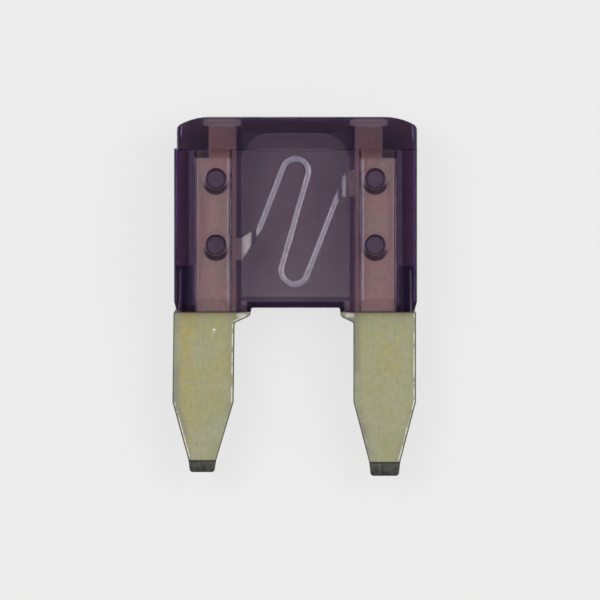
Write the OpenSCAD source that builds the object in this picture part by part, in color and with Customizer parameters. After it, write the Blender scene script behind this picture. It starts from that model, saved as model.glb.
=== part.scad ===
// Mini blade fuse: a moulded see-through housing staked onto a stamped element with two blades.
// It lies on its back. X runs across the blades, Y from the blade tips to the head, and Z up
// through the thickness. Heights along Y are counted from the foot of the housing.

/* [Housing body] */
// Width across the two side walls
body_w = 10.9; // [10.5:0.1:11.3]
// Height of the housing from its foot to the top of the head
housing_h = 8.77; // [8.5:0.01:9.2]
// Thickness of the body below the head
body_t = 3.2; // [3:0.05:3.4]
// Radius of the long edges of the body
body_edge_r = 0.15; // [0.05:0.01:0.25]
// Height of the tapered rim round the foot of the housing
foot_h = 0.49; // [0.3:0.01:0.6]
// How far the rim draws in at the front and back
foot_in = 0.3; // [0.1:0.01:0.35]
// How far the rim draws in at the sides and in the channels
foot_side_in = 0.12; // [0.05:0.01:0.18]
// Radius of the lower corners of the side walls
foot_corner_r = 0.16; // [0.05:0.01:0.25]
// Height of the rebate in the foot that the blades' shoulders sit in
seat_h = 0.16; // [0.1:0.01:0.25]

/* [Head] */
// How far the left side of the head lies inside the body's; the right sides are flush
head_left_in = 0.13; // [0:0.01:0.3]
// Height of the head
head_h = 1.47; // [1.3:0.01:1.7]
// Thickness of the head
head_t = 3.6; // [3.4:0.05:3.8]
// Small radius where the side turns into the corner
corner_small_r = 0.3; // [0.2:0.01:0.4]
// Large radius where the corner runs into the top
corner_big_r = 2.9; // [1.8:0.05:3.2]
// Degrees that the small radius turns through
corner_turn = 62; // [50:1:68]
// Radius of the front, back and side edges of the head
head_edge_r = 0.26; // [0.1:0.01:0.35]

/* [Probe pockets] */
// Width of each pocket in the top of the head
pocket_w = 1.75; // [1.5:0.05:1.9]
// Depth of each pocket down to the end of the terminal
pocket_d = 0.42; // [0.3:0.01:0.5]
// Size of each pocket through the thickness
pocket_t = 1.2; // [1:0.05:1.4]
// Corner radius of each pocket
pocket_r = 0.15; // [0.05:0.01:0.3]

/* [Chamber] */
// How far the inner edge of each terminal is buried in the chamber's side wall
terminal_bury = 0.22; // [0.15:0.01:0.35]
// Plastic left between the chamber and the top of the head
chamber_roof = 0.73; // [0.6:0.01:0.9]
// Radius of the upper corners of the chamber
chamber_r = 1.3; // [0.8:0.05:1.5]
// Thickness of the window wall in front of and behind the chamber
window_wall = 0.65; // [0.5:0.01:0.75]
// Height at which the lead-in of the chamber starts to widen towards the foot
lead_h = 0.65; // [0.6:0.01:0.8]
// Length over which the lead-in widens
lead_run = 0.48; // [0.4:0.01:0.55]
// Thickness of the plastic in front of and behind the mouth of the chamber
mouth_wall = 0.11; // [0.08:0.01:0.2]
// Width of each foot, between a side wall of the chamber and the notch
foot_w = 0.43; // [0.3:0.01:0.6]
// Height of the notch
notch_h = 0.2; // [0.1:0.01:0.3]
// Corner radius of the notch
notch_r = 0.1; // [0.05:0.01:0.1]

/* [Channels and stakes] */
// Width of the floor of each channel over a terminal
channel_w = 1.47; // [1.35:0.01:1.55]
// How far the outer edge of a channel lies inside the terminal's outer edge
channel_inset = 0.06; // [0:0.01:0.1]
// How far each side of a channel slopes out on its way up
channel_draft = 0.09; // [0.05:0.01:0.12]
// Length of the slope at the head end of a channel
channel_run = 0.36; // [0.2:0.01:0.5]
// Thickness of the wall between a channel floor and the terminal slot
channel_wall = 0.72; // [0.6:0.01:0.8]
// Height of the lower row of stakes
stake_low_y = 3.01; // [2.6:0.01:3.2]
// Distance from the underside of the head down to the upper row of stakes
stake_high_drop = 1.32; // [1.2:0.01:1.6]
// Radius of the stake's dimple at the channel floor
dimple_r = 0.5; // [0.46:0.01:0.6]
// Radius of the flat bottom of the dimple
dimple_floor_r = 0.45; // [0.4:0.01:0.46]
// Depth of the dimple
dimple_d = 0.36; // [0.2:0.01:0.45]
// Radius, at the channel floor, of the scoop below the dimple, where the punch went in aslant
scoop_r = 0.56; // [0.52:0.01:0.62]
// Radius of the bottom of the scoop
scoop_floor_r = 0.3; // [0.25:0.01:0.35]
// How far the middle of the scoop lies below the middle of the dimple
scoop_drop = 0.15; // [0.05:0.01:0.2]
// How far the staked plastic stands into the terminal's hole
stake_h = 0.26; // [0.15:0.01:0.35]
// Height of the cored hole in the foot of each side wall
core_h = 2.06; // [1.5:0.01:2.5]
// Radius of the cored hole at its mouth
core_r = 0.28; // [0.2:0.01:0.3]
// Radius of the cored hole at its round end
core_end_r = 0.24; // [0.15:0.01:0.26]

/* [Blades] */
// Width of the left blade
blade_left_w = 2.75; // [2.65:0.01:2.85]
// Width of the right blade
blade_right_w = 2.81; // [2.7:0.01:2.85]
// How far the outer edge of the left blade stands outside the body's side
blade_left_out = 0.03; // [0:0.01:0.04]
// How far the outer edge of the right blade lies inside the body's side
blade_right_in = 0.04; // [0:0.01:0.1]
// Degrees that the left blade is bent outwards
blade_left_lean = 0.7; // [0:0.1:1.5]
// Thickness of the blades and terminals
blade_t = 0.8; // [0.7:0.01:0.85]
// Length of the blade's parallel part below the housing
blade_straight = 4.03; // [3.8:0.01:4.4]
// Length of the left blade's taper
taper_left_len = 2.61; // [2.2:0.01:2.68]
// Length of the right blade's taper
taper_right_len = 2.69; // [2.61:0.01:3]
// Width of the left blade at the end of its taper
taper_left_w = 1.25; // [1.1:0.01:1.6]
// Width of the right blade at the end of its taper
taper_right_w = 1.4; // [1.2:0.01:1.6]
// Length of the coined tip of the left blade
tip_left_len = 0.54; // [0.3:0.01:0.63]
// Length of the coined tip of the right blade, which is the longer one
tip_right_len = 0.63; // [0.54:0.01:0.9]
// How much each coined tip narrows along its length
tip_narrowing = 0.11; // [0.02:0.01:0.2]
// Thickness of the coined tip at its end
tip_t = 0.3; // [0.2:0.01:0.5]
// Corner radius of the tip's end
tip_r = 0.15; // [0.05:0.01:0.25]
// Drop of the chamfer on each outer shoulder
shoulder_drop = 0.2; // [0.1:0.01:0.3]
// How far the chamfer takes each outer shoulder in
shoulder_in = 0.1; // [0.05:0.01:0.2]
// How far each inner shoulder stops short of the edge of its foot
ear_inset = 0.02; // [0:0.01:0.1]
// Depth of the left inner shoulder at its free end, below the housing
ear_left_h = 0.15; // [0.1:0.01:0.3]
// Depth of the right inner shoulder at its free end, below the housing
ear_right_h = 0.2; // [0.1:0.01:0.3]
// Slope of the underside of each inner shoulder, in degrees
ear_slope = 25; // [10:1:35]
// Radius of the inner shoulder's free corner
ear_r = 0.2; // [0.1:0.01:0.22]
// Radius of the fillet where the inner shoulder meets the blade
ear_fillet_r = 0.1; // [0.05:0.01:0.2]

/* [Terminals] */
// Distance from the body's side to the inner edge of each terminal
terminal_reach = 2.8; // [2.75:0.01:2.9]
// Width of each terminal inside the housing
terminal_w = 1.85; // [1.75:0.01:1.9]
// Width of the tab that ends under the probe pocket
tab_w = 1.25; // [1.1:0.01:1.4]
// Length of the tab, from its end down to where the terminal narrows
tab_len = 1.3; // [1.25:0.01:1.6]
// Corner radius where the terminal narrows
terminal_r = 0.2; // [0.1:0.01:0.3]
// Radius of the stake holes in the terminals
stake_hole_r = 0.445; // [0.4:0.005:0.5]

/* [Link] */
// Width of the link
link_w = 0.3; // [0.25:0.01:0.35]
// Thickness of the skived link
link_t = 0.28; // [0.2:0.01:0.35]
// Distance from the chamber wall at which the left root starts to thin
skive_left_in = 0.44; // [0.4:0.01:0.5]
// Length over which the left root thins
skive_left_len = 0.25; // [0.2:0.01:0.35]
// Distance from the chamber wall at which the right root starts to thin
skive_right_in = 0.1; // [0:0.01:0.2]
// Length over which the right root thins
skive_right_len = 0.22; // [0.15:0.01:0.35]
// Distance from the top of the chamber down to the centre of the upper loop
loop_high_drop = 1.73; // [1.5:0.01:1.9]
// Offset of the centre of the upper loop to the left
loop_high_left = 0.02; // [0:0.01:0.1]
// Centre line radius of the upper loop
loop_high_r = 0.58; // [0.52:0.01:0.62]
// Height of the centre of the lower loop
loop_low_y = 1.89; // [1.7:0.01:2.1]
// Offset of the centre of the lower loop to the left
loop_low_left = 0.06; // [0:0.01:0.15]
// Centre line radius of the lower loop
loop_low_r = 0.6; // [0.5:0.01:0.65]
// Height at which the left leg runs into its root
root_left_y = 3.78; // [3.6:0.01:3.9]
// Distance from the left terminal to the end of the left leg
root_left_reach = 1.02; // [0.9:0.01:1.1]
// Upper edge of the left root at the terminal
root_left_high = 3.37; // [3.2:0.01:3.5]
// Lower edge of the left root at the terminal
root_left_low = 2.33; // [2.1:0.01:2.5]
// Height at which the right leg runs into its root
root_right_y = 5.08; // [4.95:0.01:5.15]
// Distance from the right terminal to the end of the right leg
root_right_reach = 0.82; // [0.75:0.01:0.9]
// Upper edge of the right root at the terminal
root_right_high = 6.45; // [6.3:0.01:6.6]
// Lower edge of the right root at the terminal
root_right_low = 5.19; // [5.16:0.01:5.25]
// Distance from the right terminal to the upper corner of its root
root_right_top = 0.5; // [0.4:0.01:0.55]
// Distance from the right terminal to the lower corner of its root
root_right_foot = 0.67; // [0.6:0.01:0.7]

/* [Clearances] */
// Gap between the element and each wall of its slot
slot_gap = 0.03; // [0.02:0.01:0.05]
// Gap between the staked plastic and the terminal's hole
stake_gap = 0.02; // [0.01:0.01:0.04]

/* [Hidden] */
$fn = 72;

// Overlap that joins pieces of one solid, and overshoot that carries a cut past a face
eps = 0.05;
// Largest turn between two points of an arc in an outline, in degrees
arc_step = 7.5;

body_half_w = body_w / 2;
body_half_t = body_t / 2;
head_w = body_w - head_left_in;
head_half_t = head_t / 2;
head_low = housing_h - head_h;
corner_dx = corner_small_r * (1 - cos(corner_turn)) + corner_big_r * cos(corner_turn);
corner_dy = corner_small_r * sin(corner_turn) + corner_big_r * (1 - sin(corner_turn));

terminal_in = body_half_w - terminal_reach;
terminal_out = terminal_in + terminal_w;
terminal_mid = (terminal_in + terminal_out) / 2;
tab_mid = terminal_in + tab_w / 2;
tab_top = housing_h - pocket_d;
terminal_h = tab_top - tab_len;
stake_rows = [stake_low_y, head_low - stake_high_drop];

slot_half_t = blade_t / 2 + slot_gap;
slot_out = terminal_out + slot_gap;
channel_z = slot_half_t + channel_wall;
channel_out = terminal_out - channel_inset;
channel_in = channel_out - channel_w;
chamber_half_w = terminal_in - terminal_bury;
chamber_half_t = body_half_t - window_wall;
mouth_half_t = body_half_t - foot_in - mouth_wall;
chamber_top = housing_h - chamber_roof;
notch_w = 2 * (chamber_half_w - foot_w);
core_x = (slot_out + body_half_w) / 2;

ear_x = notch_w / 2 + ear_inset;
longest_blade = blade_straight + taper_right_len + tip_right_len;
// Distance from the body's side out to the widest place of the leaning blade
overhang = blade_left_out + blade_straight * tan(blade_left_lean);

// Centres of the link's loops and outer ends of its legs
loop_high = [-loop_high_left, chamber_top - loop_high_drop];
loop_low = [-loop_low_left, loop_low_y];
left_end = [root_left_reach - terminal_in, root_left_y];
right_end = [terminal_in - root_right_reach, root_right_y];

// Point at a distance from a centre, in a direction given in degrees
function polar(centre, r, angle) = centre + r * [cos(angle), sin(angle)];

// Points along an arc, one for about every 7 degrees of turn
function arc(centre, r, from, to) =
    let (steps = ceil(abs(to - from) / arc_step))
    [for (i = [0:steps]) polar(centre, r, from + (to - from) * i / steps)];

// Lean from the vertical, in degrees, of the line from one point up to another
function lean(low, high) = atan2(high[0] - low[0], high[1] - low[1]);

// Lean of the leg that runs up from its end and touches the left side of the upper loop
left_lean = lean(left_end, loop_high) - asin(loop_high_r / norm(loop_high - left_end));

// Lean of the leg that runs up to its end from the right side of the lower loop
right_lean = lean(loop_low, right_end) - asin(loop_low_r / norm(right_end - loop_low));

// Lean of the leg between the loops, to the left side of the lower one from the right of the upper
mid_lean = lean(loop_low, loop_high)
    + asin((loop_high_r + loop_low_r) / norm(loop_high - loop_low));

// Points of an outline's right side, mirrored and in the opposite order
function mirrored_back(points) = [for (i = [len(points) - 1:-1:0]) [-points[i][0], points[i][1]]];

// Right side of the body's front outline, from the foot up
function body_side() =
    let (
        slope = atan(foot_side_in / foot_h),
        corner_in = foot_corner_r * (1 - sin(slope)) / cos(slope),
        corner = [body_half_w - foot_side_in - corner_in, foot_corner_r]
    )
    concat(
        arc(corner, foot_corner_r, -90, -slope),
        [
            [body_half_w, foot_h],
            [body_half_w, head_low + eps]
        ]
    );

// Extrudes a profile drawn in X and Y evenly about the middle of the thickness
module along_z(t) {
    translate([0, 0, -t / 2])
        linear_extrude(t)
            children();
}

// Extrudes a profile drawn in X and Z from one height to another
module along_y(low, high) {
    translate([0, high, 0])
        rotate([90, 0, 0])
            linear_extrude(high - low)
                children();
}

// Extrudes a profile drawn in Y and Z evenly across the width
module along_x(w) {
    translate([-w / 2, 0, 0])
        rotate([90, 0, 90])
            linear_extrude(w)
                children();
}

module mirrored_x() {
    children();
    mirror([1, 0, 0])
        children();
}

module mirrored_z() {
    children();
    mirror([0, 0, 1])
        children();
}

// Centred rectangle with round corners
module rounded_rect(w, h, r) {
    square([w - 2 * r, h], center = true);
    square([w, h - 2 * r], center = true);
    for (x = [-1, 1], y = [-1, 1])
        translate([x * (w / 2 - r), y * (h / 2 - r)])
            circle(r);
}

// Rectangle that stands on a base line, with its two upper corners round
module round_topped(w, base, top, r) {
    translate([-w / 2, base])
        square([w, top - r - base]);
    translate([-w / 2 + r, base])
        square([w - 2 * r, top - base]);
    for (x = [-1, 1])
        translate([x * (w / 2 - r), top - r])
            circle(r);
}

// Places the assembly with the middle of its box over the origin and the head's back on the ground
module placed() {
    translate([overhang / 2, (longest_blade - housing_h) / 2, head_half_t])
        children();
}

// Front outline of the head: each upper corner is a small arc that runs into a large one
module head_outline() {
    big = [head_w / 2 - corner_dx, housing_h - corner_big_r];
    small = polar(big, corner_big_r - corner_small_r, corner_turn);
    intersection() {
        translate([-head_w / 2, head_low])
            square([head_w, head_h]);
        union() {
            translate([-head_w / 2, head_low])
                square([head_w, head_h - corner_dy]);
            translate([-big[0], head_low])
                square([2 * big[0], head_h]);
            mirrored_x() {
                translate(small)
                    circle(corner_small_r);
                intersection() {
                    translate(big)
                        circle(corner_big_r);
                    polygon([
                        big,
                        polar(big, 2 * corner_big_r, corner_turn),
                        polar(big, 2 * corner_big_r, 90)
                    ]);
                }
            }
        }
    }
}

module head_solid() {
    translate([head_left_in / 2, 0, 0])
        intersection() {
            along_z(head_t)
                head_outline();
            along_y(head_low, housing_h)
                rounded_rect(head_w, head_t, head_edge_r);
            along_x(head_w)
                rotate(-90)
                    round_topped(head_t, head_low, housing_h, head_edge_r);
        }
}

module body_solid() {
    top = head_low + eps;
    intersection() {
        along_y(0, top)
            rounded_rect(body_w, body_t, body_edge_r);
        along_z(body_t)
            polygon(concat(body_side(), mirrored_back(body_side())));
        along_x(body_w)
            polygon([
                [top, -body_half_t],
                [foot_h, -body_half_t],
                [0, -body_half_t + foot_in],
                [0, body_half_t - foot_in],
                [foot_h, body_half_t],
                [top, body_half_t]
            ]);
    }
}

// Recess over one terminal on one face, open at the foot and sloped at the head end
module channel_cut() {
    depth = body_half_t - channel_z;
    rise = depth + eps;
    spread = channel_draft * rise / depth;
    intersection() {
        along_y(-eps, head_low)
            polygon([
                [channel_in, channel_z],
                [channel_in - spread, channel_z + rise],
                [channel_out + spread, channel_z + rise],
                [channel_out, channel_z],
                [channel_out, 0],
                [channel_in, 0]
            ]);
        along_x(body_w)
            polygon([
                [-eps, channel_z - foot_side_in],
                [0, channel_z - foot_side_in],
                [foot_h, channel_z],
                [head_low - channel_run, channel_z],
                [head_low, body_half_t],
                [head_low, body_half_t + eps],
                [-eps, body_half_t + eps]
            ]);
    }
}

// Chamber that the link crosses, open at the foot with a lead-in at its mouth
module chamber_cut() {
    along_z(2 * chamber_half_t)
        round_topped(2 * chamber_half_w, -eps, chamber_top, chamber_r);
    along_x(2 * chamber_half_w)
        polygon([
            [lead_h, -chamber_half_t],
            [lead_h - lead_run, -mouth_half_t],
            [-eps, -mouth_half_t],
            [-eps, mouth_half_t],
            [lead_h - lead_run, mouth_half_t],
            [lead_h, chamber_half_t]
        ]);
    along_z(body_t + 2 * eps)
        round_topped(notch_w, -eps, notch_h, notch_r);
}

// Slot that the element slides up into, with a narrow end for each tab and a rebate at the foot
module slot_cut() {
    along_z(2 * slot_half_t) {
        round_topped(2 * slot_out, -eps, terminal_h + slot_gap, terminal_r + slot_gap);
        translate([-body_half_w - eps, -eps])
            square([body_w + 2 * eps, seat_h + eps]);
        mirrored_x()
            translate([terminal_in - slot_gap, 0])
                square([tab_w + 2 * slot_gap, tab_top + eps]);
    }
}

module probe_pocket_cut() {
    translate([tab_mid, 0, 0])
        along_y(tab_top, housing_h + eps)
            rounded_rect(pocket_w, pocket_t, pocket_r);
}

// Blind hole cored into the foot of a side wall
module core_cut() {
    straight = core_h - core_end_r;
    translate([core_x, 0, 0])
        rotate([-90, 0, 0]) {
            translate([0, 0, -eps])
                cylinder(h = eps + straight, r1 = core_r, r2 = core_end_r);
            translate([0, 0, straight])
                sphere(core_end_r);
        }
}

// Cone from the bottom of a dimple up through the channel floor
module punched(floor_r, r) {
    rise = dimple_d + eps;
    spread = (r - floor_r) * rise / dimple_d;
    translate([0, 0, channel_z - dimple_d])
        cylinder(h = rise, r1 = floor_r, r2 = floor_r + spread);
}

// Plastic pushed in from one face: the dimple that the punch left, and the stake behind it
module dimple_cut() {
    translate([terminal_mid, 0, 0])
        punched(dimple_floor_r, dimple_r);
    translate([terminal_mid, -scoop_drop, 0])
        punched(scoop_floor_r, scoop_r);
}

module stake() {
    translate([terminal_mid, 0, slot_half_t - stake_h])
        cylinder(h = stake_h + eps, r = stake_hole_r - stake_gap);
}

module housing() {
    color("#5a3f68")
        placed() {
            difference() {
                union() {
                    body_solid();
                    head_solid();
                }
                chamber_cut();
                slot_cut();
                mirrored_x() {
                    mirrored_z()
                        channel_cut();
                    probe_pocket_cut();
                    core_cut();
                    for (y = stake_rows)
                        translate([0, y, 0])
                            mirrored_z()
                                dimple_cut();
                }
            }
            mirrored_x()
                mirrored_z()
                    for (y = stake_rows)
                        translate([0, y, 0])
                            stake();
        }
}

// Inner shoulder, from the blade to its free end: a fillet, a sloped underside and a round corner
function ear_side(blade_in, ear_h) =
    let (
        fillet_x = blade_in - ear_fillet_r,
        underside = ear_h + (fillet_x - ear_x) * tan(ear_slope),
        fillet_y = -underside - ear_fillet_r / cos(ear_slope),
        corner_y = -ear_h + ear_r * (1 - sin(ear_slope)) / cos(ear_slope)
    )
    concat(
        arc([fillet_x, fillet_y], ear_fillet_r, 0, 90 - ear_slope),
        arc([ear_x + ear_r, corner_y], ear_r, 270 - ear_slope, 180)
    );

// Points of a blade's outline, leaning outwards below the housing
function leaned(points, lean) = [for (p = points) [p[0] + max(0, -p[1]) * tan(lean), p[1]]];

// Front outline of the right half of the stamping: tab, terminal, shoulders, blade and tip
module side_outline(blade_out, blade_w, lean, taper_len, taper_w, tip_len, ear_h) {
    blade_in = blade_out - blade_w;
    blade_mid = blade_out - blade_w / 2;
    taper_end_y = -blade_straight - taper_len;
    tip_corner_x = (taper_w - tip_narrowing) / 2 - tip_r;
    tip_corner_y = taper_end_y - tip_len + tip_r;
    polygon(leaned(lean = lean, points = concat(
        [
            [terminal_in, tab_top],
            [terminal_in + tab_w, tab_top],
            [terminal_in + tab_w, terminal_h]
        ],
        arc([terminal_out - terminal_r, terminal_h - terminal_r], terminal_r, 90, 0),
        [
            [terminal_out, seat_h],
            [blade_out - shoulder_in, seat_h],
            [blade_out, seat_h - shoulder_drop],
            [blade_out, -blade_straight],
            [blade_mid + taper_w / 2, taper_end_y]
        ],
        arc([blade_mid + tip_corner_x, tip_corner_y], tip_r, 0, -90),
        arc([blade_mid - tip_corner_x, tip_corner_y], tip_r, 270, 180),
        [
            [blade_mid - taper_w / 2, taper_end_y],
            [blade_in, -blade_straight]
        ],
        ear_side(blade_in, ear_h),
        [
            [ear_x, seat_h],
            [terminal_in, seat_h]
        ]
    )));
}

// Half of the stamping at full thickness, with its stake holes and its tip coined on both faces
module side(blade_out, blade_w, lean, taper_len, taper_w, tip_len, ear_h) {
    taper_end_y = -blade_straight - taper_len;
    tip_y = taper_end_y - tip_len;
    difference() {
        intersection() {
            along_z(blade_t)
                side_outline(blade_out, blade_w, lean, taper_len, taper_w, tip_len, ear_h);
            along_x(2 * body_w)
                polygon([
                    [housing_h, -blade_t / 2],
                    [taper_end_y, -blade_t / 2],
                    [tip_y, -tip_t / 2],
                    [tip_y, tip_t / 2],
                    [taper_end_y, blade_t / 2],
                    [housing_h, blade_t / 2]
                ]);
        }
        for (y = stake_rows)
            translate([terminal_mid, y, 0])
                cylinder(h = body_t, r = stake_hole_r, center = true);
    }
}

// Front outline of the link: a root, a leg, a loop, the middle leg, a loop, a leg and a root
module link_outline() {
    half_w = link_w / 2;
    half_left = [half_w / cos(left_lean), 0];
    half_right = [half_w / cos(right_lean), 0];
    inside = terminal_in + eps;
    polygon(concat(
        [
            [-inside, root_left_low],
            [-inside, root_left_high],
            [-chamber_half_w, root_left_high],
            left_end - half_left
        ],
        arc(loop_high, loop_high_r + half_w, 180 - left_lean, -mid_lean),
        arc(loop_low, loop_low_r - half_w, 180 - mid_lean, 360 - right_lean),
        [
            right_end - half_right,
            [terminal_in - root_right_top, root_right_high - root_right_top / 2],
            [inside, root_right_high],
            [inside, root_right_low],
            [terminal_in - root_right_foot, root_right_low],
            right_end + half_right
        ],
        arc(loop_low, loop_low_r + half_w, 360 - right_lean, 180 - mid_lean),
        arc(loop_high, loop_high_r - half_w, -mid_lean, 180 - left_lean),
        [
            left_end + half_left,
            [-chamber_half_w, root_left_low]
        ]
    ));
}

// Link cut from the outline, thinned from the terminals' thickness to its own on both faces
module link() {
    outer = terminal_in + 2 * eps;
    left_start = skive_left_in - chamber_half_w;
    right_start = chamber_half_w - skive_right_in;
    profile = [
        [-outer, blade_t / 2],
        [left_start, blade_t / 2],
        [left_start + skive_left_len, link_t / 2],
        [right_start - skive_right_len, link_t / 2],
        [right_start, blade_t / 2],
        [outer, blade_t / 2]
    ];
    underside = [for (i = [len(profile) - 1:-1:0]) [profile[i][0], -profile[i][1]]];
    intersection() {
        along_z(blade_t)
            link_outline();
        along_y(0, housing_h)
            polygon(concat(profile, underside));
    }
}

module fuse_element() {
    color("#b9b397")
        placed() {
            side(
                blade_out = body_half_w - blade_right_in,
                blade_w = blade_right_w,
                lean = 0,
                taper_len = taper_right_len,
                taper_w = taper_right_w,
                tip_len = tip_right_len,
                ear_h = ear_right_h
            );
            mirror([1, 0, 0])
                side(
                    blade_out = body_half_w + blade_left_out,
                    blade_w = blade_left_w,
                    lean = blade_left_lean,
                    taper_len = taper_left_len,
                    taper_w = taper_left_w,
                    tip_len = tip_left_len,
                    ear_h = ear_left_h
                );
            link();
        }
}

housing();
fuse_element();
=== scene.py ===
"""Looks of a mini blade fuse: a see-through violet housing on a stamped, tarnished element.

Everything is in metres. The fuse lies on its back: X runs across the blades, Y from the blade
tips to the head, and Z up through the thickness.
"""
import math

import bpy
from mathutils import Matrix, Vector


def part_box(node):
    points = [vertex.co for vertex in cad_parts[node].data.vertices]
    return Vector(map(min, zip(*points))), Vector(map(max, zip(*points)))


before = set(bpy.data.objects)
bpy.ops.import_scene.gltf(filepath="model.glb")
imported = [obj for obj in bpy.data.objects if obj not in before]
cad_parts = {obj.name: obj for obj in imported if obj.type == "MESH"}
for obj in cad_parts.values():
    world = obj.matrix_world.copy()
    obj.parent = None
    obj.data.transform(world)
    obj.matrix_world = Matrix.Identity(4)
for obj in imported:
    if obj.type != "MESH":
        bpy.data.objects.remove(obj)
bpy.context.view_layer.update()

MM = 0.001

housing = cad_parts["housing"]
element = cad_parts["fuse_element"]
housing_low, housing_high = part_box("housing")
element_low, element_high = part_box("fuse_element")

# Places worked out from the frame, and half the thickness of the blades
foot_y = housing_low[1]
middle_x = (housing_low[0] + housing_high[0]) / 2
middle_z = (housing_low[2] + housing_high[2]) / 2
side_out = housing_high[0] - middle_x
head_top = housing_high[1] - foot_y
blade_half_t = (element_high[2] - element_low[2]) / 2

# Sizes of the moulding, across from its middle, up from its foot and out from its mid-thickness
body_half = 5.45 * MM
body_z = 1.6 * MM
head_low = 7.3 * MM
head_high = 8.77 * MM
chamber_x = 2.43 * MM
chamber_h = 8.1 * MM
channel_in = 2.97 * MM
channel_out = 4.44 * MM
channel_z = 1.15 * MM
rim_h = 0.49 * MM
rim_z = 1.15 * MM
lead_h = 0.65 * MM
stake_x = 3.575 * MM
stake_rows = [3.01 * MM, 5.98 * MM]
stake_reach = 0.62 * MM
core_x = 4.99 * MM
core_h = 2.12 * MM
core_radius = 0.31 * MM
pocket_h = 8.34 * MM
pocket_z = 0.62 * MM
pocket_in = 2.35 * MM
pocket_out = 4.2 * MM

# Sizes of the blades, with the lean as a slope
blade_straight = 4.03 * MM
blades = [
    {"side": -1, "out": 5.48 * MM, "width": 2.75 * MM, "lean": 0.0122, "taper": 2.61 * MM,
     "end": 1.25 * MM, "ear": 0.15 * MM},
    {"side": 1, "out": 5.41 * MM, "width": 2.81 * MM, "lean": 0.0, "taper": 2.69 * MM,
     "end": 1.4 * MM, "ear": 0.2 * MM},
]
blade_middle = 4.07 * MM
blade_long = 7.0 * MM
ear_end = 2.02 * MM
ear_slope = 0.466
ear_overlap = 0.3 * MM
tip_left = 6.64 * MM
tip_right = 6.72 * MM

# Framing of the photograph: what its middle shows, and how much its height takes in
view_x = middle_x + 0.2 * MM
view_y = foot_y + 0.55 * MM
view_z = 2.2 * MM
view_span = 26.94 * MM
lens_mm = 1200.0
sensor_mm = 36.0

# Rounding of the edges that the solids leave sharp, and the places that it leaves out
housing_edge = 0.045 * MM
link_edge = 0.1 * MM
link_reach = 1.68 * MM
blade_share = 0.36
sharp_angle = math.radians(32)
flat_angle = math.radians(1.5)
weld_gap = 0.0001 * MM
slot_half_t = 0.5 * MM
under_floor_z = channel_z - 0.03 * MM
shoulder_x = 1.9 * MM
shoulder_reach = 1.0 * MM
edge_margin = 0.12 * MM

# Absorption of the violet plastic for each colour, in each metre of thickness
absorption = (690.0, 855.0, 760.0)
densest = 1000.0
plastic_ior = 1.58

# Floor: its gap under the part, and how much of its shadow the camera doesn't see
floor_gap = 0.01 * MM
floor_size = 3.0
floor_grey = 0.845
shadow_lift = 0.82

# Brightness of the surroundings: round the part, overhead, and as shares low down, by the tips and
# on the two sides
ring_light = 0.93
zenith_light = 0.35
low_share = 0.35
tip_side_share = 0.25
left_share = 0.7
right_share = 1.3

# Directions between which the brightness changes, as components of the view's direction
zenith_turn = (0.6, 0.97)
low_turn = (0.35, 0.1)
tip_side_turn = (-0.35, -0.75)
right_turn = (-0.7, 0.7)

# Lamps, with angles in degrees: the azimuth turns from +Y to +X
lamp_distance = 0.3
lamp_size = 0.16
lamps = [
    {"name": "lamp_left", "azimuth": -60, "elevation": 58, "power": 0.3},
    {"name": "lamp_right", "azimuth": 70, "elevation": 58, "power": 0.2},
]

# Tints of the moulding, for what shines through it, and those of its shine and of lamps behind it
clear_tint = (1.0, 0.93, 1.0, 1.0)
wall_tint = (0.92, 0.66, 1.0, 1.0)
window_tint = (0.955, 0.957, 0.955, 1.0)
# Painted shade in the moulding
shade_tint = (0.02, 0.015, 0.035, 1.0)
frosted_tint = (0.69, 0.71, 0.69, 1.0)
shine_tint = (0.5, 0.38, 1.0, 1.0)
lamp_tint = (0.95, 0.95, 0.95, 1.0)

# Colours of the blades
thin_tarnish = (0.37, 0.37, 0.28, 1.0)
full_tarnish = (0.38, 0.345, 0.15, 1.0)
olive_tarnish = (0.31, 0.36, 0.19, 1.0)
orange_stain = (0.47, 0.32, 0.08, 1.0)
# White for painted highlights, and for a scratch
highlight_and_scratch_white = (0.95, 1.0, 1.0, 1.0)
# Rubbed grey, strongest on left-hand edges, where it is painted shade
rubbed_and_shaded_grey = (0.235, 0.235, 0.215, 1.0)
# Painted highlight line along the lit edges
highlight_line_colour = (0.92, 0.9, 0.78, 1.0)
outline_dark = (0.04, 0.04, 0.035, 1.0)
# Darker band on the blades just below the housing's foot
seam_dark = (0.05, 0.045, 0.035, 1.0)
# Painted shade on the coined tips and along the crease above them
tip_shade_dark = (0.07, 0.075, 0.06, 1.0)
tip_shade_pale = (0.145, 0.145, 0.13, 1.0)
crease_shade = (0.02, 0.02, 0.02, 1.0)

# Colours of the metal inside the housing: terminals, necks beside the chamber, painted shade at the feet, the
# link, painted shade and highlight on its two sides, and painted shade on slopes
clean_warm = (0.62, 0.52, 0.42, 1.0)
clean_green = (0.55, 0.56, 0.42, 1.0)
neck_colour = (0.4, 0.42, 0.31, 1.0)
# Painted shade on the metal towards the housing's foot
foot_shade_colour = (0.1, 0.09, 0.07, 1.0)
link_dull = (0.63, 0.69, 0.84, 1.0)
link_bright = (0.76, 0.82, 0.98, 1.0)
# Painted shade and painted highlight on the link's left- and right-facing sides
link_shaded_side = (0.27, 0.26, 0.25, 1.0)
link_highlight_side = (0.9, 0.94, 1.0, 1.0)
# Painted shade on the slopes down to the link
slope_shade = (0.15, 0.14, 0.23, 1.0)

# Patterns, as repeats in a metre: along X, Y and Z where three are given
patch_scale = 3200.0
ripple_scale = 900.0
scuff_scale = (9000.0, 1500.0, 4000.0)
cloud_scale = 650.0
blotch_scale = 2100.0
mottle_scale = (7000.0, 4000.0, 4200.0)
grain_scale = (16000.0, 9000.0, 9000.0)

# Heights of the patterns as unevenness of the surface, and its strength
ripple_height = 0.02 * MM
ripple_strength = 0.35
scuff_height = 0.002 * MM
mottle_height = 0.01 * MM
grain_height = 0.004 * MM
bump_strength = 0.3
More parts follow.
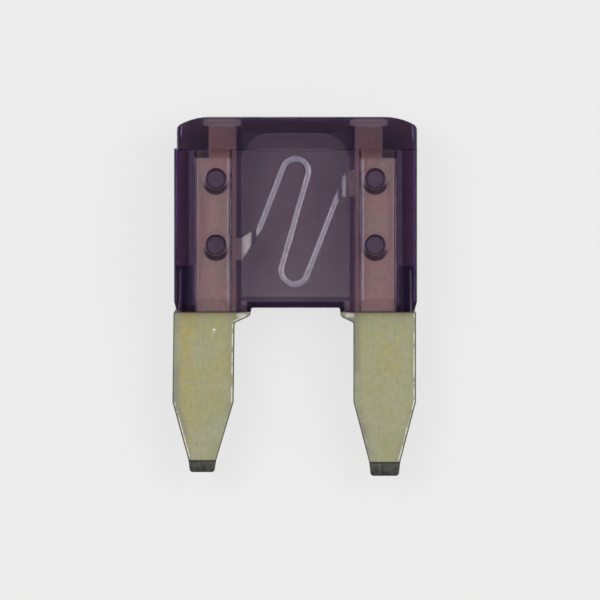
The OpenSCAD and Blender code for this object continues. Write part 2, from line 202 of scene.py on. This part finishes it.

# Wear of the blades, and a painted highlight line. The rubbed grey and the outline fade from full to none
# away from an edge
rubbed_full = 0.1 * MM
rubbed_end = 0.46 * MM
# Painted highlight line: its distances from an edge, and its strength
highlight_line_gaps = (0.07 * MM, 0.11 * MM)
highlight_line_strength = 0.75
outline_full = 0.03 * MM
outline_end = 0.065 * MM
outline_strength = 0.8
olive_strength = 0.35
stain_strength = 0.55
stain_fade = (1.5 * MM, 5.0 * MM)
# Painted shade on the metal inside the housing, towards its foot
foot_shade_h = 0.8 * MM
foot_shade_strength = 0.55

# Marks have a strength, and limits in some measures of the place: a low end, a high end and how soft
# both are. None leaves an end open. measures() gives the usual measures, and the functions that mask
# cored holes, dimples and creases add their own
crisp = 0.02 * MM
skin_z = (body_z - 0.1 * MM, None, crisp)
channel_floor_z = (channel_z - 0.04 * MM, channel_z + 0.1 * MM, crisp)
channel_floor_h = (rim_h, head_low - 0.4 * MM, crisp)
over_chamber = (None, chamber_x, crisp)
under_head = (None, head_low, crisp)

# Painted shade in the moulding, with a darker band along its foot
shade_marks = [
    # Painted shade in the cored holes in the feet of the side walls, and round them
    (1.0, {"from_core": (None, core_radius, crisp), "rise": (None, core_h, crisp)}),
    (0.7, {"across": (core_x - 0.36 * MM, None, 0.06 * MM), "rise": (None, core_h, 0.06 * MM)}),
    # Painted shade along the outer edges of the body and of the head
    (0.5, {"across": (body_half - 0.07 * MM, None, crisp)}),
    (0.5, {"rise": (head_high - 0.07 * MM, None, crisp)}),
    # Painted shade on the rim at the foot and the lead-in with its upper edge; a darker band at the foot's
    # edge
    (1.0, {
        "across": (None, 2.2 * MM, 0.08 * MM),
        "rise": (None, rim_h, crisp),
        "depth": (rim_z, None, crisp),
    }),
    (0.6, {"across": over_chamber, "rise": (lead_h - 0.02 * MM, lead_h + 0.05 * MM, crisp), "depth": skin_z}),
    (0.65, {"across": over_chamber, "rise": (rim_h, lead_h, crisp), "depth": skin_z}),
    (0.85, {"rise": (None, 0.06 * MM, 0.05 * MM), "depth": (0.7 * MM, None, crisp)}),
    # Painted shade at the feet of the channels and in the creases along their inner walls
    (0.2, {
        "across": (channel_in, channel_out, crisp),
        "rise": (rim_h, rim_h + 0.08 * MM, crisp),
        "depth": (1.0 * MM, None, crisp),
    }),
    (0.75, {
        "across": (channel_in - 0.12 * MM, channel_in - 0.02 * MM, crisp),
        "rise": under_head,
        "depth": (channel_z, None, crisp),
    }),
]
dimple_shade_marks = [
    # Painted shade on the dimples' lower walls, the edges of their floors, and their upper rims
    (0.94, {
        "from_dimple": (0.46 * MM, 0.72 * MM, 0.04 * MM),
        "over_dimple": (None, -0.15 * MM, 0.25 * MM),
        "depth": (0.75 * MM, channel_z - 0.005 * MM, crisp),
    }),
    (0.38, {"from_dimple": (0.38 * MM, 0.44 * MM, 0.03 * MM), "depth": (None, 0.95 * MM, crisp)}),
    (0.3, {
        "from_dimple": (0.57 * MM, 0.63 * MM, 0.03 * MM),
        "over_dimple": (0.1 * MM, None, 0.1 * MM),
        "depth": (channel_z - 0.05 * MM, channel_z + 0.05 * MM, crisp),
    }),
]

# Walls of the probe pockets, which aren't polished
frosted_marks = [
    (1.0, {
        "across": (pocket_in, pocket_out, 0.03 * MM),
        "rise": (pocket_h + 0.03 * MM, pocket_h + 0.3 * MM, 0.12 * MM),
        "depth": (None, pocket_z, crisp),
    }),
]

# Walls beside the channels, where the haze is more violet: fully outside, less inside
violet_marks = [
    (1.0, {"across": (channel_out + 0.06 * MM, None, 0.05 * MM), "rise": under_head, "depth": skin_z}),
    (0.45, {
        "across": (chamber_x - 0.1 * MM, channel_in - 0.04 * MM, 0.05 * MM),
        "rise": under_head,
        "depth": skin_z,
    }),
]

window_limits = {"across": (None, chamber_x, 0.05 * MM), "rise": (None, chamber_h, 0.1 * MM)}
hazy_window_limits = {
    "across": (None, chamber_x, 0.1 * MM),
    "rise": (None, chamber_h, 0.12 * MM),
    "depth": skin_z,
}
window_haze = 0.034
window_haze_top = 8.0 * MM
window_top_share = 0.4
body_haze = 0.0015
head_haze = 0.006
highlight_haze_marks = [
    # Painted highlights along the edges of the channel floors
    (0.16, {
        "across": (channel_in + 0.01 * MM, channel_in + 0.09 * MM, crisp),
        "rise": channel_floor_h,
        "depth": channel_floor_z,
    }),
    (0.06, {
        "across": (channel_out - 0.09 * MM, channel_out - 0.01 * MM, crisp),
        "rise": channel_floor_h,
        "depth": channel_floor_z,
    }),
    # Painted light on the body beside the channels and beside the chamber, and on the channels' upper outer
    # corners
    (0.04, {
        "across": (channel_out + 0.1 * MM, channel_out + 0.34 * MM, 0.06 * MM),
        "rise": (0.3 * MM, head_low, 0.1 * MM),
        "depth": skin_z,
    }),
    (0.014, {
        "across": (chamber_x - 0.1 * MM, chamber_x + 0.3 * MM, 0.05 * MM),
        "rise": (rim_h, head_low, 0.1 * MM),
        "depth": skin_z,
    }),
    (0.035, {"across": (3.85 * MM, channel_out, 0.04 * MM), "rise": (6.95 * MM, head_low, 0.05 * MM)}),
]
# Painted light on the dimple floors
dimple_light_marks = [
    (0.028, {"from_dimple": (None, 0.36 * MM, 0.03 * MM), "depth": (0.7 * MM, 0.9 * MM, crisp)}),
]

# Painted highlights on the pads at the link's two roots and on the blades' inner shoulders
highlight_marks = [
    (1.0, {"x": (-2.33 * MM, -2.02 * MM, 0.09 * MM), "rise": (2.2 * MM, 3.5 * MM, 0.15 * MM)}),
    (1.0, {"x": (2.1 * MM, 2.27 * MM, 0.04 * MM), "rise": (5.1 * MM, 6.2 * MM, 0.15 * MM)}),
    (0.7, {"across": (2.25 * MM, 2.62 * MM, 0.08 * MM), "rise": (-0.24 * MM, -0.06 * MM, 0.04 * MM)}),
]

# Painted shade on the slopes that lead down to the link and turn away from the light: one on the left, two on
# the right
slope_shade_marks = [
    (1.0, {"x": (-2.0 * MM, -1.76 * MM, 0.03 * MM), "rise": (2.2 * MM, 3.9 * MM, 0.1 * MM)}),
    (1.0, {"x": (1.88 * MM, 2.08 * MM, 0.03 * MM), "rise": (5.1 * MM, 6.5 * MM, 0.1 * MM)}),
    (1.0, {"x": (2.29 * MM, chamber_x, 0.03 * MM), "rise": (5.1 * MM, 6.5 * MM, 0.1 * MM)}),
]

stain_limits = {"x": (-5.15 * MM, -4.6 * MM, 0.22 * MM)}
scratch_limits = {"x": (-3.7 * MM, -3.61 * MM, crisp), "drop": (0.74 * MM, 1.0 * MM, 0.05 * MM)}
face_limits = {
    "drop": (0.0, None, crisp),
    "depth": (blade_half_t - 0.07 * MM, None, crisp),
}
neck_marks = [(0.8, {"across": (chamber_x - 0.06 * MM, 2.72 * MM, 0.04 * MM)})]
# Darker band on the blades just below the housing's foot
seam_marks = [(0.7, {"across": (chamber_x, None, crisp), "rise": (-0.04 * MM, 0.1 * MM, 0.04 * MM)})]
# Painted shade along the crease above the tips
crease_shade_marks = [(0.8, {"past_crease": (0.0, 0.07 * MM, 0.03 * MM)})]


class Tree:
    """Nodes of one material, world or modifier: each call adds a node and sets or links its sockets."""

    def __init__(self, tree):
        self.nodes = tree.nodes
        self.links = tree.links
        self.nodes.clear()

    def put(self, socket, value):
        """Links a socket to another one, or gives it a plain value."""
        if isinstance(value, bpy.types.NodeSocket):
            self.links.new(value, socket)
        else:
            socket.default_value = value

    def add(self, kind, sockets, **settings):
        """Adds a node. Sockets are named, or numbered where a node has several of one name."""
        node = self.nodes.new(kind)
        for name, value in settings.items():
            setattr(node, name, value)
        for name, value in sockets.items():
            self.put(node.inputs[name], value)
        return node

    def maths(self, operation, a, b=0.0, clamp=False):
        return self.add("ShaderNodeMath", {0: a, 1: b}, operation=operation, use_clamp=clamp).outputs[0]

    def plus(self, a, b):
        return self.maths("ADD", a, b)

    def minus(self, a, b):
        return self.maths("SUBTRACT", a, b)

    def times(self, a, b):
        return self.maths("MULTIPLY", a, b)

    def most(self, a, b):
        return self.maths("MAXIMUM", a, b)

    def least(self, a, b):
        return self.maths("MINIMUM", a, b)

    def size(self, a):
        return self.maths("ABSOLUTE", a)

    def more(self, a, b):
        return self.maths("GREATER_THAN", a, b)

    def less(self, a, b):
        return self.maths("LESS_THAN", a, b)

    def rest(self, a):
        """Turns a mask round."""
        return self.minus(1.0, a)

    def step(self, value, low, high):
        """Runs smoothly from 0 at the low value to 1 at the high one; the two may be swapped."""
        node = self.add(
            "ShaderNodeMapRange",
            {"Value": value, "From Min": low, "From Max": high, "To Min": 0.0, "To Max": 1.0},
            interpolation_type="SMOOTHSTEP",
        )
        return node.outputs["Result"]

    def between(self, value, low, high):
        """Maps 0 to 1 onto a range."""
        node = self.add("ShaderNodeMapRange", {"Value": value, "To Min": low, "To Max": high})
        return node.outputs["Result"]

    def mix(self, factor, a, b, blend="MIX"):
        node = self.add("ShaderNodeMix", {0: factor, 6: a, 7: b}, data_type="RGBA", blend_type=blend)
        return node.outputs[2]

    def axes(self, vector):
        return self.add("ShaderNodeSeparateXYZ", {"Vector": vector}).outputs

    def noise(self, vector, scale, detail, roughness=0.5):
        """Adds a pattern. Its scale is one number, or three that stretch it."""
        if isinstance(scale, tuple):
            vector = self.add("ShaderNodeMapping", {"Vector": vector, "Scale": scale}).outputs["Vector"]
            scale = 1.0
        node = self.add(
            "ShaderNodeTexNoise",
            {"Vector": vector, "Scale": scale, "Detail": detail, "Roughness": roughness},
        )
        return node.outputs[0]

    def bump(self, height, distance, strength, normal=None):
        sockets = {"Height": height, "Distance": distance, "Strength": strength}
        if normal is not None:
            sockets["Normal"] = normal
        return self.add("ShaderNodeBump", sockets).outputs["Normal"]


def new_material(name):
    material = bpy.data.materials.new(name)
    material.use_nodes = True
    return material, Tree(material.node_tree)


def product(tree, masks):
    """Multiplies masks together."""
    result = masks[0]
    for mask in masks[1:]:
        result = tree.times(result, mask)
    return result


def strongest(tree, masks):
    result = masks[0]
    for mask in masks[1:]:
        result = tree.most(result, mask)
    return result


def above(tree, value, limit, blur=crisp):
    return tree.step(value, limit - blur, limit + blur)


def below(tree, value, limit, blur=crisp):
    return tree.step(value, limit + blur, limit - blur)


def within(tree, at, limits):
    """Masks where each measure lies between its limits."""
    masks = []
    for measure, (low, high, blur) in limits.items():
        if low is not None:
            masks.append(above(tree, at[measure], low, blur))
        if high is not None:
            masks.append(below(tree, at[measure], high, blur))
    return product(tree, masks)


def marked(tree, at, marks):
    """Masks the strongest of some marks."""
    return strongest(tree, [tree.times(within(tree, at, limits), strength) for strength, limits in marks])


def distance(tree, a, b):
    """Length of the vector with two given components."""
    return tree.maths("SQRT", tree.plus(tree.times(a, a), tree.times(b, b)))


def measures(tree, place):
    """Measures a place on the part. x is to the right of the housing's middle, and across is the same
    without its sign. rise is up from its foot, drop is down from it, and depth is out from
    mid-thickness."""
    axes = tree.axes(place)
    x = tree.minus(axes["X"], middle_x)
    rise = tree.minus(axes["Y"], foot_y)
    return {
        "x": x,
        "across": tree.size(x),
        "rise": rise,
        "drop": tree.times(rise, -1.0),
        "depth": tree.size(tree.minus(axes["Z"], middle_z)),
    }


def dimple_measures(tree, at):
    """Adds the distance from a dimple's middle and the height over it, for each row of dimples."""
    rows = []
    for row in stake_rows:
        over = tree.minus(at["rise"], row)
        from_middle = distance(tree, tree.minus(at["across"], stake_x), over)
        rows.append({**at, "from_dimple": from_middle, "over_dimple": over})
    return rows


def shade_places(tree, at, dimples):
    """Masks the painted shade in the moulding: cored holes, edges, rim, creases and the dimples' lower walls,
    and a darker band along the foot.
    """
    from_core = distance(tree, tree.minus(at["across"], core_x), at["depth"])
    masks = [marked(tree, {**at, "from_core": from_core}, shade_marks)]
    for dimple in dimples:
        masks.append(marked(tree, dimple, dimple_shade_marks))
    return strongest(tree, masks)


def haze_and_highlight_places(tree, at, dimples):
    """Masks the haze over the skin and in the window, more so towards the foot, painted highlights along the
    edges of the channel floors, and painted light beside them, beside the chamber and on the dimple floors.
    """
    by_part = tree.between(above(tree, at["rise"], head_low), body_haze, head_haze)
    by_height = tree.between(tree.step(at["rise"], window_haze_top, 0.0), window_top_share, 1.0)
    window = tree.times(by_height, within(tree, at, hazy_window_limits))
    masks = [
        tree.times(within(tree, at, {"depth": skin_z}), by_part),
        tree.times(window, window_haze),
        marked(tree, at, highlight_haze_marks),
    ]
    for dimple in dimples:
        masks.append(marked(tree, dimple, dimple_light_marks))
    return strongest(tree, masks)


def violet_plastic():
    """Clear violet moulding: it takes light away with thickness, and lets lamps shine through."""
    material, tree = new_material("violet_plastic_look")
    place = tree.add("ShaderNodeTexCoord", {}).outputs["Object"]
    at = measures(tree, place)
    dimples = dimple_measures(tree, at)
    frosted = marked(tree, at, frosted_marks)
    patches = tree.step(tree.noise(place, patch_scale, 4.0, 0.65), 0.35, 0.65)
    # Haze, with painted highlights and painted light in places
    haze_and_highlights = tree.times(haze_and_highlight_places(tree, at, dimples), tree.between(patches, 0.7, 1.3))

    colour = tree.mix(marked(tree, at, violet_marks), clear_tint, wall_tint)
    colour = tree.mix(within(tree, at, window_limits), colour, window_tint)
    # Painted shade
    colour = tree.mix(shade_places(tree, at, dimples), colour, shade_tint)
    colour = tree.mix(frosted, colour, frosted_tint)

    scuffs = tree.noise(place, scuff_scale, 4.0, 0.65)
    normal = tree.bump(tree.noise(place, ripple_scale, 2.0), ripple_height, ripple_strength)
    normal = tree.bump(scuffs, scuff_height, bump_strength, normal)
    glass = tree.add("ShaderNodeBsdfPrincipled", {
        "Base Color": colour,
        "Roughness": tree.between(scuffs, 0.04, 0.16),
        "IOR": plastic_ior,
        "Transmission Weight": tree.maths("SUBTRACT", tree.between(frosted, 1.0, 0.35), haze_and_highlights, clamp=True),
        "Specular IOR Level": 0.9,
        "Specular Tint": shine_tint,
        "Normal": normal,
    })
    clear = tree.add("ShaderNodeBsdfTransparent", {"Color": lamp_tint})
    shadow = tree.add("ShaderNodeLightPath", {}).outputs["Is Shadow Ray"]
    surface = tree.add("ShaderNodeMixShader", {0: shadow, 1: glass.outputs[0], 2: clear.outputs[0]})
    body = tree.add("ShaderNodeVolumeAbsorption", {
        "Color": (*[1.0 - each / densest for each in absorption], 1.0),
        "Density": densest,
    })
    tree.add("ShaderNodeOutputMaterial", {"Surface": surface.outputs[0], "Volume": body.outputs[0]})
    return material


def edge_gap(tree, across, drop, start, slope, outwards):
    """Distance of a place from an edge that starts at a given place across and moves out by a slope."""
    line = tree.plus(tree.times(drop, slope), start)
    return tree.times(tree.minus(line, across), outwards * math.cos(math.atan(slope)))


def blade_gap(tree, at):
    """Distance of a place on a blade from the nearest of its long edges and tapers."""
    drop = at["drop"]
    gaps = []
    for blade in blades:
        across = tree.times(at["x"], blade["side"])
        outer = blade["out"]
        inner = blade["out"] - blade["width"]
        lean = blade["lean"]
        narrowing = (blade["width"] - blade["end"]) / 2 / blade["taper"]
        turned = blade_straight * narrowing
        sides = tree.least(
            edge_gap(tree, across, drop, outer, lean, 1),
            edge_gap(tree, across, drop, inner, lean, -1),
        )
        tapers = tree.least(
            edge_gap(tree, across, drop, outer + turned, lean - narrowing, 1),
            edge_gap(tree, across, drop, inner - turned, lean + narrowing, -1),
        )
        gaps.append(tree.least(sides, tapers))

        # The shoulder reaches further in than the blade, and its lower edge slopes
        ear_foot = tree.plus(tree.times(tree.minus(across, ear_end), ear_slope), blade["ear"])
        ear = tree.times(tree.minus(ear_foot, drop), math.cos(math.atan(ear_slope)))
        ear = tree.least(ear, tree.minus(across, ear_end))
        gaps.append(tree.least(ear, tree.minus(inner + ear_overlap, across)))
    return strongest(tree, gaps)


def zinc_patterns(tree, place):
    """Gives the patterns of the metal, from coarse to fine. Each runs round 0.5, so that a step near
    there splits it into patches."""
    return {
        "clouds": tree.noise(place, cloud_scale, 4.0, 0.6),
        "blotches": tree.noise(place, blotch_scale, 2.0, 0.5),
        "mottle": tree.noise(place, mottle_scale, 4.0, 0.65),
        "grain": tree.noise(place, grain_scale, 3.0, 0.6),
    }


def tarnished(tree, at, pattern):
    """Colours the blades: tarnish that thins towards the tips, olive blotches and orange stains."""
    cover = tree.step(tree.plus(pattern["clouds"], tree.times(pattern["mottle"], 0.5)), 0.5, 1.0)
    thinner = tree.between(tree.step(at["drop"], 0.0, blade_long), 1.0, 0.7)
    tarnish = tree.times(tree.between(cover, 0.2, 1.0), thinner)
    colour = tree.mix(tarnish, thin_tarnish, full_tarnish)
    olive = tree.times(tree.step(pattern["blotches"], 0.45, 0.65), olive_strength)
    colour = tree.mix(olive, colour, olive_tarnish)
    stain = product(tree, [
        within(tree, at, stain_limits),
        tree.between(tree.step(at["drop"], *stain_fade), 1.0, 0.5),
        tree.step(pattern["blotches"], 0.42, 0.62),
        tree.between(pattern["mottle"], 0.5, 1.2),
    ])
    return tree.mix(tree.times(stain, stain_strength), colour, orange_stain)


def edges_rubbed_and_highlit(tree, at, pattern, colour):
    """Adds the blades' edges: rubbed grey, more on the left-hand edges as painted shade, a dark outline, and
    a painted highlight line on the lit side.
    """
    gap = blade_gap(tree, at)
    outside = above(tree, at["drop"], 0.0)
    on_taper = above(tree, at["drop"], blade_straight, 0.1 * MM)
    right_hand = tree.most(
        within(tree, at, {"x": (-blade_middle, 0.0, crisp)}),
        above(tree, at["x"], blade_middle),
    )
    # Rubbed grey along the edges; its greater strength on left-hand edges is painted shade
    rubbed_and_shaded = product(tree, [
        tree.step(gap, rubbed_end, rubbed_full),
        tree.between(right_hand, 0.95, 0.4),
        tree.between(tree.step(pattern["clouds"], 0.42, 0.58), 0.35, 1.0),
        tree.between(tree.step(pattern["mottle"], 0.35, 0.65), 0.6, 1.0),
        outside,
    ])
    colour = tree.mix(rubbed_and_shaded, colour, rubbed_and_shaded_grey)
    lit_side = tree.plus(
        tree.times(right_hand, tree.rest(on_taper)),
        tree.times(above(tree, at["across"], blade_middle), on_taper),
    )
    # Painted highlight line on the lit side's edges
    edge_highlight = product(tree, [
        above(tree, gap, highlight_line_gaps[0]),
        below(tree, gap, highlight_line_gaps[1]),
        tree.step(pattern["blotches"], 0.38, 0.54),
        lit_side,
        outside,
    ])
    colour = tree.mix(tree.times(edge_highlight, highlight_line_strength), colour, highlight_line_colour)
    outline = tree.times(tree.step(gap, outline_end, outline_full), within(tree, at, face_limits))
    return tree.mix(tree.times(outline, outline_strength), colour, outline_dark)


def inside_metal(tree, at, pattern, facing, inside, in_link, colour):
    """Adds the metal inside the housing, which is clean with painted shade at its feet, and the link, which
    is bluer and brighter, with painted shade on its left-facing side and slopes and a painted highlight on
    its right-facing side.
    """
    clean = tree.mix(tree.step(pattern["clouds"], 0.4, 0.6), clean_warm, clean_green)
    clean = tree.mix(marked(tree, at, neck_marks), clean, neck_colour)
    # Painted shade towards the foot
    foot_shade = tree.times(tree.step(at["rise"], foot_shade_h, 0.0), foot_shade_strength)
    clean = tree.mix(foot_shade, clean, foot_shade_colour)
    colour = tree.mix(inside, colour, clean)
    link = tree.mix(tree.step(pattern["mottle"], 0.35, 0.65), link_dull, link_bright)
    # Painted shade on the link's left-facing side, and a painted highlight on its right-facing side
    link = tree.mix(tree.step(facing, -0.05, -0.3), link, link_shaded_side)
    link = tree.mix(tree.step(facing, 0.05, 0.3), link, link_highlight_side)
    # Painted shade on the slopes down to the link
    link = tree.mix(marked(tree, at, slope_shade_marks), link, slope_shade)
    return tree.mix(in_link, colour, link)


def shaded_tips(tree, at, pattern, colour):
    """Paints shade on the coined tips, and a darker line of painted shade along the crease above them."""
    on_left = tree.step(at["x"], 0.1 * MM, -0.1 * MM)
    past_crease = tree.minus(at["drop"], tree.between(on_left, tip_right, tip_left))
    # Painted shade on the tips
    tips = tree.step(past_crease, -0.04 * MM, 0.04 * MM)
    tip_shade_colour = tree.mix(tree.step(pattern["mottle"], 0.35, 0.7), tip_shade_dark, tip_shade_pale)
    colour = tree.mix(tips, colour, tip_shade_colour)
    return tree.mix(marked(tree, {"past_crease": past_crease}, crease_shade_marks), colour, crease_shade)


def zinc_alloy():
    """Rolled zinc with a yellow tarnish, greyer rubbed edges and stains on the left, with painted highlights
    and painted shade on the tips.
    """
    material, tree = new_material("zinc_alloy_look")
    texture = tree.add("ShaderNodeTexCoord", {}).outputs
    facing = tree.axes(texture["Normal"])["X"]
    at = measures(tree, texture["Object"])
    pattern = zinc_patterns(tree, texture["Object"])
    mottle = pattern["mottle"]
    grain = pattern["grain"]

    scratch = product(tree, [
        within(tree, at, scratch_limits),
        tree.step(grain, 0.42, 0.6),
        tree.step(mottle, 0.3, 0.5),
    ])
    # Painted highlights on the pads and shoulders, and a scratch
    highlight_and_scratch = tree.most(marked(tree, at, highlight_marks), scratch)
    inside = tree.times(tree.step(at["rise"], 0.0, 0.3 * MM), tree.rest(highlight_and_scratch))
    in_link = tree.times(inside, below(tree, at["across"], chamber_x, 0.05 * MM))

    colour = tree.mix(highlight_and_scratch, tarnished(tree, at, pattern), highlight_and_scratch_white)
    colour = edges_rubbed_and_highlit(tree, at, pattern, colour)
    colour = inside_metal(tree, at, pattern, facing, inside, in_link, colour)
    level = tree.plus(tree.between(grain, 0.3, 0.7), tree.between(mottle, 0.25, 0.75))
    levels = tree.add("ShaderNodeCombineColor", {0: level, 1: level, 2: level}).outputs[0]
    colour = tree.mix(1.0, colour, levels, "MULTIPLY")
    # Darker band just below the housing's foot
    colour = tree.mix(marked(tree, at, seam_marks), colour, seam_dark)
    colour = shaded_tips(tree, at, pattern, colour)

    normal = tree.bump(grain, grain_height, bump_strength)
    normal = tree.bump(mottle, mottle_height, bump_strength, normal)
    metal = tree.add("ShaderNodeBsdfPrincipled", {
        "Base Color": colour,
        "Metallic": tree.between(highlight_and_scratch, 0.8, 0.15),
        "Roughness": tree.minus(tree.between(mottle, 0.38, 0.6), tree.times(in_link, 0.16)),
        "Normal": normal,
    })
    tree.add("ShaderNodeOutputMaterial", {"Surface": metal.outputs[0]})
    return material


def skin_group(name, build):
    """Makes a geometry node group. The build function gets its tree and incoming geometry."""
    group = bpy.data.node_groups.new(name, "GeometryNodeTree")
    group.interface.new_socket("Geometry", in_out="INPUT", socket_type="NodeSocketGeometry")
    group.interface.new_socket("Geometry", in_out="OUTPUT", socket_type="NodeSocketGeometry")
    tree = Tree(group)
    source = tree.add("NodeGroupInput", {})
    tree.add("NodeGroupOutput", {0: build(tree, source.outputs[0])})
    return group


def weld_skin(tree, skin):
    """Drops the imported normals and welds the faces into one skin."""
    bare = tree.add("GeometryNodeRemoveAttribute", {"Geometry": skin, "Name": "custom_normal"})
    welded = tree.add("GeometryNodeMergeByDistance", {"Geometry": bare.outputs[0], "Distance": weld_gap})
    return welded.outputs[0]


def sharp_edges(tree):
    angle = tree.add("GeometryNodeInputMeshEdgeAngle", {}).outputs["Unsigned Angle"]
    return tree.more(angle, sharp_angle)


def edge_measures(tree):
    return measures(tree, tree.add("GeometryNodeInputPosition", {}).outputs[0])


def store_weights(tree, skin, weights):
    stored = tree.add(
        "GeometryNodeStoreNamedAttribute",
        {"Geometry": skin, "Name": "bevel_weight_edge", "Value": weights},
        domain="EDGE",
        data_type="FLOAT",
    )
    return stored.outputs[0]


def mark_housing(tree, skin):
    """Marks the sharp edges to be rounded: not in the slot or the dimples, nor the flush side's seam."""
    at = edge_measures(tree)
    clear_of_slot = tree.most(
        tree.more(at["depth"], slot_half_t),
        tree.more(at["rise"], head_top - edge_margin),
    )
    on_side = tree.more(at["x"], side_out - edge_margin)
    by_seam = tree.less(tree.size(tree.minus(at["rise"], head_low)), edge_margin)
    under_floor = tree.less(at["depth"], under_floor_z)
    left_out = [tree.times(on_side, by_seam)]
    for dimple in dimple_measures(tree, at):
        left_out.append(tree.times(tree.less(dimple["from_dimple"], stake_reach), under_floor))
    kept = tree.rest(strongest(tree, left_out))
    return store_weights(tree, skin, product(tree, [sharp_edges(tree), clear_of_slot, kept]))


def mark_element(tree, skin):
    """Marks the stamping's sharp edges, but not at its shoulders, with more rounding on the link."""
    at = edge_measures(tree)
    on_link = tree.times(tree.less(at["across"], link_reach), tree.more(at["rise"], 0.0))
    weight = tree.between(on_link, blade_share, 1.0)
    by_shoulder = tree.times(
        tree.more(at["across"], shoulder_x),
        tree.less(at["across"], shoulder_x + shoulder_reach),
    )
    by_foot = tree.less(tree.size(at["rise"]), shoulder_reach / 2)
    kept = tree.rest(tree.times(by_shoulder, by_foot))
    return store_weights(tree, skin, product(tree, [sharp_edges(tree), weight, kept]))


def shade_skin(tree, skin):
    """Shades every face smooth and keeps only the sharp edges sharp."""
    smooth = tree.add("GeometryNodeSetShadeSmooth", {"Geometry": skin})
    crisp_edges = tree.add(
        "GeometryNodeSetShadeSmooth",
        {"Geometry": smooth.outputs[0], "Selection": sharp_edges(tree), "Shade Smooth": False},
        domain="EDGE",
    )
    return crisp_edges.outputs[0]


def round_edges(node, width, groups):
    """Rounds a solid's sharp edges with modifiers, and leaves its own mesh as it is."""
    weld, mark, shade = groups
    node.modifiers.new("weld", "NODES").node_group = weld
    flat = node.modifiers.new("flat_faces", "DECIMATE")
    flat.decimate_type = "DISSOLVE"
    flat.angle_limit = flat_angle
    node.modifiers.new("mark", "NODES").node_group = mark
    bevel = node.modifiers.new("edge_rounding", "BEVEL")
    bevel.width = width
    bevel.segments = 2
    bevel.limit_method = "WEIGHT"
    bevel.use_clamp_overlap = False
    bevel.miter_outer = "MITER_ARC"
    node.modifiers.new("shade", "NODES").node_group = shade
    weighted = node.modifiers.new("flat_shading", "WEIGHTED_NORMAL")
    weighted.keep_sharp = True


def dress(node, material):
    node.data.materials.clear()
    node.data.materials.append(material)


def add_floor():
    """Pale floor just under the part. The camera sees the shadow on it only faintly."""
    half = floor_size / 2
    corners = [(-half, -half, 0), (half, -half, 0), (half, half, 0), (-half, half, 0)]
    mesh = bpy.data.meshes.new("floor")
    mesh.from_pydata(corners, [], [(0, 1, 2, 3)])
    floor = bpy.data.objects.new("floor", mesh)
    floor.location.z = -floor_gap
    bpy.context.collection.objects.link(floor)
    material, tree = new_material("floor_paper")
    grey = (floor_grey, floor_grey, floor_grey, 1.0)
    paper = tree.add("ShaderNodeBsdfDiffuse", {"Color": grey})
    glow = tree.add("ShaderNodeEmission", {"Color": grey})
    seen = tree.add("ShaderNodeLightPath", {}).outputs["Is Camera Ray"]
    lift = tree.times(seen, shadow_lift)
    surface = tree.add("ShaderNodeMixShader", {0: lift, 1: paper.outputs[0], 2: glow.outputs[0]})
    tree.add("ShaderNodeOutputMaterial", {"Surface": surface.outputs[0]})
    mesh.materials.append(material)


def add_world():
    """Soft light from a ring round the part, brightest on the right, darker overhead and by the tips."""
    world = bpy.data.worlds.new("studio")
    bpy.context.scene.world = world
    world.use_nodes = True
    tree = Tree(world.node_tree)
    way = tree.axes(tree.add("ShaderNodeTexCoord", {}).outputs["Generated"])
    level = product(tree, [
        tree.between(tree.step(way["Z"], *zenith_turn), ring_light, zenith_light),
        tree.between(tree.step(way["Z"], *low_turn), 1.0, low_share),
        tree.between(tree.step(way["Y"], *tip_side_turn), 1.0, tip_side_share),
        tree.between(tree.step(way["X"], *right_turn), left_share, right_share),
    ])
    light = tree.add("ShaderNodeBackground", {"Color": (1.0, 1.0, 1.0, 1.0), "Strength": level})
    tree.add("ShaderNodeOutputWorld", {"Surface": light.outputs[0]})


def add_lamp(name, azimuth, elevation, power):
    """Square soft lamp that looks at the middle of the fuse."""
    lamp = bpy.data.lights.new(name, "AREA")
    lamp.shape = "SQUARE"
    lamp.size = lamp_size
    lamp.energy = power
    place = bpy.data.objects.new(name, lamp)
    turn = math.radians(azimuth)
    rise = math.radians(elevation)
    place.location = (
        lamp_distance * math.cos(rise) * math.sin(turn),
        lamp_distance * math.cos(rise) * math.cos(turn),
        lamp_distance * math.sin(rise),
    )
    place.rotation_euler = (math.pi / 2 - rise, 0, math.pi - turn)
    bpy.context.collection.objects.link(place)


def add_camera():
    """Camera straight above the fuse, with the head at the top of the picture."""
    camera = bpy.data.cameras.new("camera")
    camera.lens = lens_mm
    camera.sensor_width = sensor_mm
    camera.sensor_height = sensor_mm
    camera.sensor_fit = "HORIZONTAL"
    height = view_span * lens_mm / sensor_mm
    camera.clip_start = height / 10
    camera.clip_end = height * 100
    place = bpy.data.objects.new("camera", camera)
    place.location = (view_x, view_y, view_z + height)
    bpy.context.collection.objects.link(place)
    bpy.context.scene.camera = place


weld = skin_group("weld_skin", weld_skin)
shade = skin_group("shade_skin", shade_skin)
round_edges(housing, housing_edge, [weld, skin_group("mark_housing", mark_housing), shade])
round_edges(element, link_edge, [weld, skin_group("mark_element", mark_element), shade])
dress(housing, violet_plastic())
dress(element, zinc_alloy())
add_floor()
add_world()
for lamp in lamps:
    add_lamp(**lamp)
add_camera()
bpy.context.scene.view_settings.view_transform = "Standard"
